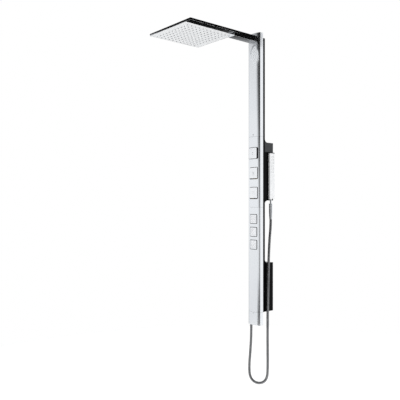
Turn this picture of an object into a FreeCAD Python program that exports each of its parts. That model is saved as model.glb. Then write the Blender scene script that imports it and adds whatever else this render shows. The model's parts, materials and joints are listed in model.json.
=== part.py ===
"""Shower panel column: a slim aluminium panel on two black stand-off brackets, with a rain head on an arm,
three controls, three body jets and a stick handset on a hose.

Millimetres. The drawing frame has X to the right as one faces the panel, Y towards the wall, whose face is
Y = 0, and Z up from the column's foot. Every piece is moved at the end so that the origin is the centre of
the lower wall plate's bolt pattern.
"""
import FreeCAD, Part
import math
import os

V = FreeCAD.Vector
X_AXIS = V(1, 0, 0)
Y_AXIS = V(0, 1, 0)
Z_AXIS = V(0, 0, 1)

# ---------------------------------------------------------------- driving dimensions
# Column
column_height = 1450.0
column_width = 80.0
front_line = 98.0            # wall to the front's two side edges
front_bulge = 8.0            # rise of the convex front over those edges
flank_depth = 21.0           # polished flank, front to back
shell_wall = 2.0
edge_radius = 2.0
seam_gap = 0.6
seam_above_knob = 82.0       # upper seam above the knob's middle
seam_below_controls = 72.5   # middle seam below the last control's middle
lower_seam = 65.0
cap_thickness = 3.0
fit = 0.3                    # clearance between pieces that seat or slide
through = 1.0                # how far a cut runs past the wall it opens
opening_depth = 12.0         # front openings, from the side edges back
cap_spigot = 8.0
upper_screw_rise = 9.0       # upper cover screw above its seam
lower_screw_drop = 5.0       # lower cover screw below its seam
cover_screw_radius = 1.5
cover_screw_head = 2.9
cover_screw_head_height = 1.2
cover_screw_sink = 1.6       # countersink's floor behind the crown

# Back rail
spine_drop = 23.0            # rail's top below the column's top
spine_back = 59.0            # wall to the rail's back face
spine_wall = 2.5
rail_setback = 12.0          # rail's front behind the side edges
screw_block_setback = 2.0
screw_block_thickness = 5.0
screw_block_half_height = 6.0

# Wall brackets
bracket_width = 71.0         # the back rail's width too
bracket_wall = 2.5
flare_radius = 18.0
upper_bracket_height = 242.0
bracket_below_supply = 120.0 # upper bracket's foot below the supplies' middle
block_height = 47.0
lower_bracket_foot = 65.0
lower_bracket_top = 308.0
plate_thickness = 3.0
tab_width = 24.0
tab_depth = 18.0
bolt_spacing_x = 46.0
bolt_margin = 22.0           # bolt centre to the plate's end
bolt_radius = 3.0
lock_screw_radius = 2.5
lock_screw_head = 4.2
lock_screw_head_height = 2.2
lock_screw_end = 2.0         # shank beyond the plate's tab

# Supply and mixer
supply_spacing = 150.0
supply_below_knob = 115.0    # supplies' middle below the knob's
supply_thread_radius = 9.3
supply_thread_length = 16.0
supply_outer_radius = 13.0
tail_radius = 8.0
tail_bore = 5.5
supply_shoulder = 4.0        # wide part of the tail behind the thread
valve_setback = 2.0
valve_length = 12.0
valve_wall = 2.5
mixer_width = 44.0
mixer_depth = 28.0
mixer_margin = 22.0          # mixer body beyond its end cartridges' centres
mixer_back_wall = 6.0
pipe_radius = 6.5
pipe_wall = 1.0
pipe_clearance = 2.0         # mixer's back plane to the pipes
hose_pipe_radius = 5.0
outlet_length = 16.0
union_height = 12.0          # block that joins the hose pipe to the mixer's foot
union_front = 2.0            # block's front behind the hose pipe's middle line
union_back = 8.0
pipe_bend = 22.0

# Controls
knob_height = 855.0
control_pitch = 98.5         # from each control to the next one below
control_size = 54.0
control_corner = 5.0
knob_face = 11.5             # how far the knob's face stands in front of the side edges
knob_boss = 10.0             # boss behind the knob's carrier
carrier_thickness = 1.0
carrier_margin = 2.0         # dark frame that the carrier shows round the knob's plate
button_face = 7.0
button_travel = 3.0
pad_plate = 4.0
pad_wall = 1.8
pad_gap = 1.8
pad_gap_below = 4.4          # shadow gap under a button
pad_edge = 1.2               # rounding round a control's face
overlap = 0.5                # joined shapes run into each other
skirt_depth = 3.5
boss_wall = 4.0
spindle_radius = 5.0
spindle_reach = 20.0         # spindle's depth inside the mixer
stem_reach = 12.0
stem_radius = 4.0
cartridge_radius = 14.0
cartridge_nose = 6.0
seat_gap = 0.05              # cartridge in its bore, spring at its seats
diverter_radius = 11.0
running_gap = 0.08
spring_radius = 6.8
spring_wire = 1.0
spring_turns = 3
spring_points = 12           # points a turn

# Body jets
jet_below_seam = 58.0        # top jet's middle below the middle seam
jet_pitch = 63.8
jet_size = 44.0
jet_plate = 4.5
jet_face = 7.0
jet_gap_x = 3.0
jet_gap_z = 2.2
ball_radius = 11.0
ball_depth = 5.0             # ball centre behind the front's side edges
socket_radius = 16.0
socket_depth = 18.0
neck_radius = 6.0
socket_lead = 3.0            # socket's front ahead of the ball's centre
jet_way = 2.5
socket_way = 3.0
branch_radius = 4.0
pocket_depth = 2.0
insert_recess = 0.3
insert_margin = 6.0
jet_edge = 1.0
jet_hole_rows = 4
jet_hole_pitch = 8.0
jet_nozzle_radius = 1.5

# Arm and rain head
arm_width = 44.0
arm_height = 28.0
arm_drop = 16.0              # arm's top below the column's top
arm_wall = 2.0
head_front = 526.0           # wall to the head's front edge
head_back = 219.0
lip_length = 36.0            # arm's lower lip under the head
head_length = 315.0          # across the viewer's left and right
head_thickness = 10.0
head_skin = 1.5
strip_width = 36.0           # plain strip beside the spray plate
spray_plate_thickness = 2.0
inlet_radius = 6.0
elbow_wall = 2.0
head_overrun = 12.0          # water pipe's end behind the head's back edge
inlet_setback = 17.0         # head's inlet in front of its back edge
nozzle_count = 11
nozzle_pitch = 23.4
nozzle_offset = -7.0         # nozzle field's middle, left of the plate's middle
nozzle_radius = 2.2
nozzle_length = 1.6
seal_width = 4.0
seal_thickness = 2.0

# Handset and hose
handset_side = 2.0           # air between bracket and handset
handset_thickness = 11.0
handset_front = 62.5         # front of the handset behind the column's side edges
handset_depth = 34.0
handset_cap_length = 4.5
handset_edge = 1.8
connector_edge = 1.5
connector_groove = 0.8       # rounding that makes the groove under the handset's bar
strip_end = 12.0             # spray strip below the handset's top
strip_depth = 1.5
strip_recess = 0.3
strip_gap = 0.1
handset_nozzle_radius = 1.3
handset_nozzle_length = 0.9
handset_rise = 9.0           # handset's foot above the bracket's
handset_length = 231.0
connector_depth = 15.5
connector_drop = 4.0         # connector's foot below the handset's
connector_height = 24.0
spray_strip_length = 96.0
spray_strip_width = 22.0
spray_rows = 12
spray_columns = 3
spray_pitch = 7.4
hook_drop = 118.0            # hook below the handset's top
hook_head = 13.0
hook_neck = 6.0
hook_plate_width = 18.0
hook_plate_height = 28.0
hook_plate_thickness = 1.0
hook_slot_wall = 2.3         # handset's skin in front of the hook's head
hook_head_thickness = 2.7
lift_travel = 30.0
nut_radius = 9.5
nut_offset = 8.0             # nut's axis outwards of the handset's inner face
nut_length = 44.0
nut_cone = 34.0
nut_bore = 2.0
nut_collar = 2.5
nut_end_wall = 0.8           # nut's narrow end over the hose
groove_steps = (10.0, 24.0)  # grooves below the nut's top
groove_width = 1.2
groove_depth = 0.5
nut_drop = 21.0              # nut's top below the connector
hose_radius = 6.5
hose_exit_x = -27.0
hose_exit_y = -92.0
hose_tail = 14.0             # hose end above the column's foot

# ---------------------------------------------------------------- derived places
first_button_height = knob_height - control_pitch
second_button_height = first_button_height - control_pitch
upper_seam = knob_height + seam_above_knob
middle_seam = second_button_height - seam_below_controls
top_jet_height = middle_seam - jet_below_seam
supply_centre = knob_height - supply_below_knob
upper_bracket_foot = supply_centre - bracket_below_supply
upper_bracket_top = upper_bracket_foot + upper_bracket_height
handset_foot = upper_bracket_foot + handset_rise
handset_top = handset_foot + handset_length
connector_foot = handset_foot - connector_drop
connector_top = connector_foot + connector_height
jet_heights = (top_jet_height, top_jet_height - jet_pitch, top_jet_height - 2 * jet_pitch)
spine_top = column_height - spine_drop
arm_top = column_height - arm_drop
hook_height = handset_top - hook_drop
half_width = column_width / 2
spine_width = bracket_width
side_edges = -front_line
apex = side_edges - front_bulge
flank_back = side_edges + flank_depth
rail_front = side_edges + rail_setback
rail_back = -spine_back
rail_inner = spine_width / 2 - spine_wall
mixer_back = -spine_back - spine_wall - fit
mixer_front = mixer_back - mixer_depth
mixer_foot = second_button_height - mixer_margin
mixer_top = knob_height + mixer_margin
supply_heights = (supply_centre - supply_spacing / 2, supply_centre + supply_spacing / 2)
lock_screw_y = -plate_thickness - tab_depth / 2
pipe_y = mixer_back - pipe_radius - pipe_clearance
spindle_end = mixer_front + spindle_reach
stem_end = mixer_front + stem_reach
socket_front = side_edges + ball_depth - socket_lead
socket_back = socket_front + socket_depth
screw_block_front = rail_front + screw_block_setback
screw_block_back = screw_block_front + screw_block_thickness
screw_seat = apex + cover_screw_sink
arm_foot = arm_top - arm_height
arm_end = -head_back - lip_length
arm_pipe_height = (arm_foot + arm_top - head_thickness) / 2
elbow_radius = arm_pipe_height - arm_foot - arm_wall - fit
elbow_back = -head_back + head_overrun
inlet_y = -head_back - inlet_setback
head_right = arm_width / 2
head_foot = arm_top - head_thickness
mount_height = (lower_bracket_foot + lower_bracket_top) / 2
handset_x = bracket_width / 2 + handset_side
handset_y = side_edges + handset_front
nut_x = handset_x + nut_offset
nut_y = handset_y + connector_depth / 2
nut_top = connector_foot - nut_drop
nut_foot = nut_top - nut_length - nut_cone
cover_screw_heights = (upper_seam + upper_screw_rise, lower_seam - lower_screw_drop)


# ---------------------------------------------------------------- helpers
def box(x0, x1, y0, y1, z0, z1):
    return Part.makeBox(x1 - x0, y1 - y0, z1 - z0, V(x0, y0, z0))


def rod(radius, start, axis, length):
    return Part.makeCylinder(radius, length, start, axis)


def rod_y(radius, x, z, y0, y1):
    return rod(radius, V(x, y0, z), Y_AXIS, y1 - y0)


def tube(radius, wall, start, axis, length):
    return rod(radius, start, axis, length).cut(rod(radius - wall, start, axis, length))


def rounded_pad(size_x, size_z, corner, z, y0, y1):
    """A rounded square plate in the panel's front, from y0 back to y1."""
    pad = box(-size_x / 2, size_x / 2, y0, y1, z - size_z / 2, z + size_z / 2)
    edges = [e for e in pad.Edges if abs(e.tangentAt(e.FirstParameter).y) > 0.9]
    return pad.makeFillet(corner, edges)


def soften_face(pad, face, radius):
    """Rounds the rim of a pad's front face, which lies at Y = face."""
    return pad.makeFillet(radius, [e for e in pad.Edges if abs(e.BoundBox.YMax - face) < 0.01])


def front_outline(inset, back):
    """Closed section of the front's outside, drawn in by inset and cut off at back."""
    x = half_width - inset
    y = side_edges + inset
    left = V(-x, y, 0)
    right = V(x, y, 0)
    crown = Part.Arc(left, V(0, apex + inset, 0), right).toShape()
    lines = [Part.makeLine(right, V(x, back, 0)), Part.makeLine(V(x, back, 0), V(-x, back, 0)),
             Part.makeLine(V(-x, back, 0), left)]
    return Part.Face(Part.Wire([crown] + lines))


def front_prism(inset, back, foot, top):
    face = front_outline(inset, back)
    face.translate(V(0, 0, foot))
    return face.extrude(V(0, 0, top - foot))


def soften_long_edges(shape, radius):
    """Rounds the two long front edges where crown and flank meet."""
    edges = [e for e in shape.Edges
             if abs(abs(e.BoundBox.Center.x) - half_width) < 0.01
             and abs(e.BoundBox.Center.y - side_edges) < 0.01 and e.BoundBox.ZLength > radius]
    return shape.makeFillet(radius, edges)


def shell(foot, top):
    """One length of the front cover: crown, flanks and the two lips that clip round the back rail."""
    outer = soften_long_edges(front_prism(0, flank_back, foot, top), edge_radius)
    hollow = front_prism(shell_wall, flank_back - shell_wall, foot, top)
    slot = box(-spine_width / 2 - fit, spine_width / 2 + fit, flank_back - 2 * shell_wall, flank_back, foot, top)
    return outer.cut(hollow).cut(slot)


def rounded_path(points):
    """Straight runs joined by tangent arcs as large as the runs allow; prints each radius."""
    edges = []
    start = points[0]
    for before, corner, after in zip(points, points[1:], points[2:]):
        incoming = corner - before
        outgoing = after - corner
        half_turn = incoming.getAngle(outgoing) / 2
        setback = 0.45 * min(incoming.Length, outgoing.Length)
        radius = setback / math.tan(half_turn)
        print("hose bend radius %.1f mm, turn %.0f degrees" % (radius, math.degrees(2 * half_turn)))
        enter = corner - incoming.normalize() * setback
        leave = corner + outgoing.normalize() * setback
        bisector = (leave - corner + (enter - corner)).normalize()
        middle = corner + bisector * (radius / math.cos(half_turn) - radius)
        edges.append(Part.makeLine(start, enter))
        edges.append(Part.Arc(enter, middle, leave).toShape())
        start = leave
    edges.append(Part.makeLine(start, points[-1]))
    return Part.Wire(edges)


def swept(wire, radius):
    start = wire.Edges[0]
    direction = start.tangentAt(start.FirstParameter)
    circle = Part.Wire(Part.makeCircle(radius, start.Vertexes[0].Point, direction))
    return wire.makePipeShell([circle], True, False)


def pipe_elbow(corner, radius, wall, bend, rise, reach):
    """A pipe that comes up to a corner, bends and runs forward, with its bore."""
    foot = corner - Z_AXIS * rise
    lower = corner - Z_AXIS * bend
    ahead = corner - Y_AXIS * bend
    middle = corner + V(0, -1, -1).normalize() * (bend * (math.sqrt(2) - 1))
    path = Part.Wire([Part.makeLine(foot, lower), Part.Arc(lower, middle, ahead).toShape(),
                      Part.makeLine(ahead, corner - Y_AXIS * reach)])
    return swept(path, radius).cut(swept(path, radius - wall))


def screw(head_radius, head_height, shank_radius, shank_length, seat, inward):
    """Screw with its head standing on seat and its shank running along inward; cross recess in the head."""
    head = rod(head_radius, seat - inward * head_height, inward, head_height)
    shank = rod(shank_radius, seat, inward, shank_length)
    reach = 0.7 * head_radius
    half_blade = 0.12 * head_radius
    blade = box(-reach, reach, -half_blade, half_blade, 0, 0.6 * head_height)
    cross = blade.fuse(blade.copy().rotate(V(0, 0, 0), Z_AXIS, 90))
    cross.Placement = FreeCAD.Placement(seat - inward * head_height, FreeCAD.Rotation(Z_AXIS, inward))
    return head.fuse(shank).cut(cross).removeSplitter()


def spring(radius, wire, turns, x, z, y0, y1):
    """Compression spring round a Y axis."""
    rise = y1 - y0 - 1.2 * wire
    steps = turns * spring_points
    points = []
    for step in range(steps + 1):
        angle = 2 * math.pi * step / spring_points
        points.append(V(x + radius * math.cos(angle), y0 + 0.6 * wire + rise * step / steps,
                        z + radius * math.sin(angle)))
    line = Part.BSplineCurve()
    line.interpolate(points)
    circle = Part.Wire(Part.makeCircle(wire / 2, points[0], line.tangent(line.FirstParameter)[0]))
    return Part.Wire(line.toShape()).makePipeShell([circle], True, False)


def write(name, shape):
    """Moves a piece so that the lower wall plate's centre is the origin, and writes it."""
    placed = shape.copy()
    placed.translate(V(0, 0, -mount_height))
    placed.exportStep("parts/%s.step" % name)
    print("%-24s %d solid(s) %10.0f mm3" % (name, len(placed.Solids), placed.Volume))


# ---------------------------------------------------------------- column
def control_opening(height):
    """Opening round a button, wider below it, where the gap shows as a dark line."""
    size = control_size + 2 * pad_gap
    drop = pad_gap_below - pad_gap
    return rounded_pad(size, size + drop, control_corner + pad_gap, height - drop / 2, apex - through,
                       side_edges + opening_depth)


def jet_opening(height):
    return rounded_pad(jet_size + 2 * jet_gap_x, jet_size + 2 * jet_gap_z, control_corner, height,
                       apex - through, side_edges + opening_depth)


def cover_screw_seat(height):
    """Countersink and hole for a cover screw in the crown."""
    sink = rod_y(cover_screw_head + fit, 0, height, apex - through, screw_seat)
    return sink.fuse(rod_y(cover_screw_radius + fit, 0, height, apex, apex + 3 * shell_wall))


def make_column():
    half_seam = seam_gap / 2
    upper = shell(upper_seam + half_seam, column_height - cap_thickness)
    upper = upper.cut(box(-arm_width / 2 - fit, arm_width / 2 + fit, apex - through,
                          side_edges + opening_depth, arm_foot - fit, arm_top + fit))
    controls = shell(middle_seam + half_seam, upper_seam - half_seam)
    spindle_hole = rod_y(cartridge_radius - boss_wall + through, 0, knob_height, apex - through,
                         side_edges + opening_depth / 2)
    controls = controls.cut(spindle_hole)
    for height in (first_button_height, second_button_height):
        controls = controls.cut(control_opening(height))
    jets = shell(lower_seam + half_seam, middle_seam - half_seam)
    for height in jet_heights:
        jets = jets.cut(jet_opening(height))
    bottom = shell(cap_thickness, lower_seam - half_seam)
    upper = upper.cut(cover_screw_seat(cover_screw_heights[0]))
    bottom = bottom.cut(cover_screw_seat(cover_screw_heights[1]))
    write("upper_shell", upper)
    write("control_shell", controls)
    write("jet_shell", jets)
    write("bottom_shell", bottom)
    write("cover_screws", Part.makeCompound([
        screw(cover_screw_head, cover_screw_head_height, cover_screw_radius, screw_block_back - screw_seat,
              V(0, screw_seat, height), Y_AXIS)
        for height in cover_screw_heights]))


def make_caps():
    """End caps: a plate with the column's outline, and a spigot inside the shell."""
    top = soften_long_edges(front_prism(0, flank_back, column_height - cap_thickness, column_height), edge_radius)
    top_spigot = front_prism(shell_wall + fit, flank_back - 2 * shell_wall - fit,
                             column_height - cap_thickness - cap_spigot, column_height - cap_thickness)
    write("top_cap", top.fuse(top_spigot).removeSplitter())
    bottom = soften_long_edges(front_prism(0, flank_back, 0, cap_thickness), edge_radius)
    bottom_spigot = front_prism(shell_wall + fit, flank_back - 2 * shell_wall - fit, cap_thickness,
                                cap_thickness + cap_spigot)
    hole = rod(hose_radius + fit, V(hose_exit_x, hose_exit_y, -through), Z_AXIS,
               cap_thickness + cap_spigot + 2 * through)
    write("bottom_cap", bottom.fuse(bottom_spigot).removeSplitter().cut(hole))


def make_spine():
    """Black channel, open to the front, with the water way's holes and a tapped block behind each cover screw."""
    outer = box(-spine_width / 2, spine_width / 2, rail_front, rail_back, lower_seam, spine_top)
    hollow = box(-rail_inner, rail_inner, rail_front, rail_back - spine_wall, lower_seam, spine_top)
    rail = outer.cut(hollow)
    for height in supply_heights:
        rail = rail.cut(rod_y(tail_radius + fit, 0, height, rail_back - 2 * spine_wall, rail_back + through))
    for height in cover_screw_heights:
        block = box(-rail_inner, rail_inner, screw_block_front, screw_block_back,
                    height - screw_block_half_height, max(height, lower_seam) + screw_block_half_height)
        thread = rod_y(cover_screw_radius + 2 * seat_gap, 0, height, screw_block_front - through,
                       screw_block_back + through)
        rail = rail.fuse(block.cut(thread))
    write("spine", rail.removeSplitter())


# ---------------------------------------------------------------- brackets
def flare(height, upward):
    """Concave fillet between the bracket's end wall and the back rail."""
    sign = 1 if upward else -1
    corner = box(-bracket_width / 2, bracket_width / 2, rail_back, rail_back + flare_radius,
                 min(height, height + sign * flare_radius), max(height, height + sign * flare_radius))
    centre = V(-bracket_width / 2 - through, rail_back + flare_radius, height + sign * flare_radius)
    return corner.cut(rod(flare_radius, centre, X_AXIS, bracket_width + 2 * through))


def hollow_bracket(foot, top, flare_foot, flare_top, closed_top):
    """Stand-off box, open to the wall, closed towards the rail."""
    outer = box(-bracket_width / 2, bracket_width / 2, rail_back, 0, foot, top)
    if flare_foot:
        outer = outer.fuse(flare(foot, False))
    if flare_top:
        outer = outer.fuse(flare(top, True))
    ceiling = top - bracket_wall if closed_top else top
    inner_half = bracket_width / 2 - bracket_wall
    hollow = box(-inner_half, inner_half, rail_back + bracket_wall, 0, foot + bracket_wall, ceiling)
    return outer.removeSplitter().cut(hollow)


def wall_plate(foot, top, supplies):
    """Steel plate in the bracket's open back, with four bolt holes and a tab for the lock screw."""
    half = bracket_width / 2 - bracket_wall - fit
    low = foot + bracket_wall + fit
    high = top - bracket_wall - fit
    plate = box(-half, half, -plate_thickness, 0, low, high)
    tab = box(-tab_width / 2, tab_width / 2, -plate_thickness - tab_depth, -plate_thickness, low,
              low + plate_thickness)
    plate = plate.fuse(tab).removeSplitter()
    plate = plate.cut(rod(lock_screw_radius + seat_gap, V(0, lock_screw_y, low - through), Z_AXIS,
                          plate_thickness + 2 * through))
    for x in (-bolt_spacing_x / 2, bolt_spacing_x / 2):
        for z in (foot + bolt_margin, top - bolt_margin):
            plate = plate.cut(rod_y(bolt_radius, x, z, -plate_thickness - through, through))
    for height in supplies:
        plate = plate.cut(rod_y(supply_outer_radius + fit, 0, height, -plate_thickness - through, through))
    return plate


def lock_hole(shape, foot):
    return shape.cut(rod(lock_screw_radius + fit, V(0, lock_screw_y, foot - through), Z_AXIS,
                         bracket_wall + 2 * through))


def make_brackets():
    upper = hollow_bracket(upper_bracket_foot, upper_bracket_top, True, False, False)
    for height in supply_heights:
        upper = upper.cut(rod_y(tail_radius + fit, 0, height, rail_back - through,
                                rail_back + bracket_wall + through))
    upper = lock_hole(upper, upper_bracket_foot)
    write("upper_bracket", upper)
    block_top = upper_bracket_top + block_height
    block = hollow_bracket(upper_bracket_top - bracket_wall, block_top, False, True, True)
    block = block.cut(box(-bracket_width, bracket_width, rail_back - through, through,
                          upper_bracket_top - 2 * bracket_wall, upper_bracket_top))
    write("bracket_block", block)
    lower = lock_hole(hollow_bracket(lower_bracket_foot, lower_bracket_top, False, True, True), lower_bracket_foot)
    write("lower_bracket", lower)
    write("upper_wall_plate", wall_plate(upper_bracket_foot, block_top, supply_heights))
    write("lower_wall_plate", wall_plate(lower_bracket_foot, lower_bracket_top, ()))
    write("lock_screws", Part.makeCompound([
        screw(lock_screw_head, lock_screw_head_height, lock_screw_radius,
              bracket_wall + fit + plate_thickness + lock_screw_end,
              V(0, lock_screw_y, foot), Z_AXIS) for foot in (upper_bracket_foot, lower_bracket_foot)]))


# ---------------------------------------------------------------- water way
def supply_tail(height):
    """Brass tail from the mixer back to the wall, ending in a socket with a female pipe thread."""
    tail = rod_y(tail_radius, 0, height, mixer_back, -supply_thread_length)
    socket = rod_y(supply_outer_radius, 0, height, -supply_thread_length - supply_shoulder, 0)
    bore = rod_y(tail_bore, 0, height, mixer_back - through, -supply_thread_length)
    thread = rod_y(supply_thread_radius, 0, height, -supply_thread_length, through)
    return tail.fuse(socket).removeSplitter().cut(bore).cut(thread)


def check_valve(height):
    """Non-return insert in the tail's bore."""
    back = -supply_thread_length - valve_setback
    front = back - valve_length
    body = rod_y(tail_bore - seat_gap, 0, height, front, back)
    return body.cut(rod_y(tail_bore - valve_wall, 0, height, front - through, back + through))


def make_mixer():
    body = box(-mixer_width / 2, mixer_width / 2, mixer_front, mixer_back, mixer_foot, mixer_top)
    bore_end = mixer_back - mixer_back_wall
    body = body.cut(rod_y(cartridge_radius, 0, knob_height, mixer_front - through, bore_end))
    for height in (first_button_height, second_button_height):
        body = body.cut(rod_y(diverter_radius, 0, height, mixer_front - through, bore_end))
    for height in supply_heights:
        body = body.cut(rod_y(tail_bore, 0, height, bore_end, mixer_back + through))
    write("mixer_body", body)
    cartridge = rod_y(cartridge_radius - seat_gap, 0, knob_height, mixer_front, bore_end)
    nose = rod_y(cartridge_radius - boss_wall + through, 0, knob_height, mixer_front - cartridge_nose,
                 mixer_front)
    bore = rod_y(spindle_radius + running_gap, 0, knob_height, mixer_front - cartridge_nose - through,
                 spindle_end + overlap)
    write("thermostat_cartridge", cartridge.fuse(nose).removeSplitter().cut(bore))
    for number, height in enumerate((first_button_height, second_button_height), 1):
        body = rod_y(diverter_radius - seat_gap, 0, height, mixer_front, bore_end)
        bore = rod_y(stem_radius + running_gap, 0, height, mixer_front - through,
                     stem_end + button_travel + through)
        write("diverter_cartridge_%d" % number, body.cut(bore))


def make_pipes():
    """Riser to the arm, branch pipe to the jets, and drop pipe to the hose outlet in the column's foot."""
    corner = V(0, pipe_y, arm_pipe_height)
    write("riser_pipe", pipe_elbow(corner, pipe_radius, pipe_wall, pipe_bend, arm_pipe_height - mixer_top,
                                   pipe_y - elbow_back))
    lowest = jet_heights[-1] - pipe_radius - branch_radius
    jet_pipe = rod(pipe_radius, V(0, pipe_y, lowest), Z_AXIS, mixer_foot - lowest)
    bore = rod(pipe_radius - pipe_wall, V(0, pipe_y, lowest + 2 * pipe_wall), Z_AXIS, mixer_foot - lowest)
    for height in jet_heights:
        jet_pipe = jet_pipe.fuse(rod_y(branch_radius, 0, height, socket_back, pipe_y))
        bore = bore.fuse(rod_y(branch_radius - pipe_wall, 0, height, socket_back - through, pipe_y))
    write("jet_pipe", jet_pipe.removeSplitter().cut(bore))
    foot = V(hose_exit_x, hose_exit_y, hose_tail + outlet_length)
    union_foot = mixer_foot - union_height
    drop = rod(hose_pipe_radius, foot, Z_AXIS, union_foot - foot.z)
    union = box(hose_exit_x - hose_pipe_radius, -pipe_radius - pipe_clearance, hose_exit_y - union_front,
                mixer_back - union_back, union_foot, mixer_foot)
    way = rod(hose_pipe_radius - pipe_wall, foot, Z_AXIS, mixer_foot - union_height / 2 - foot.z)
    write("hose_pipe", drop.fuse(union).removeSplitter().cut(way))
    outlet = rod(hose_radius, V(hose_exit_x, hose_exit_y, hose_tail), Z_AXIS, outlet_length)
    outlet_way = rod(hose_pipe_radius - pipe_wall, V(hose_exit_x, hose_exit_y, hose_tail - through), Z_AXIS,
                     outlet_length + 2 * through)
    write("hose_outlet", outlet.cut(outlet_way))


# ---------------------------------------------------------------- controls
def make_knob():
    """Square cap that turns on the thermostat's spindle, and the dark carrier plate that frames it."""
    face = side_edges - knob_face
    back = apex - 2 * fit
    cap_back = back - carrier_thickness - seat_gap
    boss_radius = spindle_radius + boss_wall
    cap = rounded_pad(control_size, control_size, control_corner, knob_height, face, cap_back)
    cap = soften_face(cap, face, pad_edge)
    socket_end = (face + back) / 2
    boss = rod_y(boss_radius, 0, knob_height, cap_back - overlap, back + knob_boss)
    carrier_size = control_size + 2 * carrier_margin
    carrier = rounded_pad(carrier_size, carrier_size, control_corner + carrier_margin, knob_height,
                          back - carrier_thickness, back)
    carrier = carrier.cut(rod_y(boss_radius + seat_gap, 0, knob_height, face, back + through))
    write("knob_carrier", carrier)
    socket = rod_y(spindle_radius, 0, knob_height, socket_end, back + knob_boss + through)
    write("thermostat_knob", cap.fuse(boss).removeSplitter().cut(socket))
    write("thermostat_spindle", rod_y(spindle_radius, 0, knob_height, socket_end, spindle_end))


def make_button(name, height):
    """Push button: square cap with a skirt and a stem."""
    face = side_edges - button_face
    skirt_end = face + pad_plate + skirt_depth
    cap = rounded_pad(control_size, control_size, control_corner, height, face, skirt_end)
    cap = soften_face(cap, face, pad_edge)
    hollow = rounded_pad(control_size - 2 * pad_wall, control_size - 2 * pad_wall, control_corner - pad_wall,
                         height, face + pad_plate, skirt_end + through)
    stem = rod_y(stem_radius, 0, height, face + pad_plate - overlap, stem_end)
    write(name, cap.cut(hollow).fuse(stem).removeSplitter())
    write(name + "_spring", spring(spring_radius, spring_wire, spring_turns, 0, height,
                                   face + pad_plate + seat_gap, mixer_front - seat_gap))


# ---------------------------------------------------------------- body jets
def make_jet(number, height):
    """Square jet face on a ball, held in a socket; the nozzle insert shows in the face."""
    face = side_edges - jet_face
    plate = rounded_pad(jet_size, jet_size, control_corner - overlap, height, face, face + jet_plate)
    plate = soften_face(plate, face, jet_edge)
    ball_y = side_edges + ball_depth
    neck = rod_y(neck_radius, 0, height, face + jet_plate - overlap, ball_y)
    ball = Part.makeSphere(ball_radius, V(0, ball_y, height))
    way = rod_y(jet_way, 0, height, face + jet_plate, ball_y + ball_radius + through)
    insert_size = jet_hole_pitch * (jet_hole_rows - 1) + insert_margin
    pocket_end = face + pocket_depth
    pocket = rounded_pad(insert_size, insert_size, insert_margin / 3, height, face - through, pocket_end)
    write("jet_face_%d" % number, plate.fuse(neck).fuse(ball).removeSplitter().cut(way).cut(pocket))
    insert_size -= 2 * seat_gap
    insert = rounded_pad(insert_size, insert_size, insert_margin / 3, height, face + insert_recess, pocket_end)
    first = -(jet_hole_rows - 1) / 2 * jet_hole_pitch
    for row in range(jet_hole_rows):
        for column in range(jet_hole_rows):
            tip = rod_y(jet_nozzle_radius, first + column * jet_hole_pitch, height + first + row * jet_hole_pitch,
                        face - overlap, face + pocket_depth / 2)
            insert = insert.fuse(tip)
    write("jet_nozzles_%d" % number, insert.removeSplitter())
    cup = rod_y(socket_radius, 0, height, socket_front, socket_back)
    cup = cup.cut(Part.makeSphere(ball_radius + fit, V(0, ball_y, height)))
    return cup.cut(rod_y(socket_way, 0, height, ball_y, socket_back + through))


# ---------------------------------------------------------------- arm and rain head
def make_arm():
    """Rectangular tube from the back rail to the head, whose lower lip carries the head's corner."""
    half = arm_width / 2
    back = rail_back - spine_wall
    tube_body = box(-half, half, -head_back, back, arm_foot, arm_top)
    lip = box(-half, half, arm_end, -head_back, arm_foot, head_foot)
    hollow = box(-half + arm_wall, half - arm_wall, arm_end + arm_wall, back + through,
                 arm_foot + arm_wall, head_foot - arm_wall)
    upper_hollow = box(-half + arm_wall, half - arm_wall, -head_back + arm_wall, back + through,
                       arm_foot + arm_wall, arm_top - arm_wall)
    riser_slot = box(-pipe_radius - fit, pipe_radius + fit, pipe_y - pipe_bend, back + through,
                     arm_foot - through, arm_foot + arm_wall + through)
    inlet_hole = rod(inlet_radius + fit, V(0, inlet_y, head_foot - arm_wall - through), Z_AXIS,
                     arm_wall + 2 * through)
    arm = tube_body.fuse(lip).removeSplitter().cut(hollow).cut(upper_hollow)
    write("arm", arm.cut(riser_slot).cut(inlet_hole))


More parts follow.
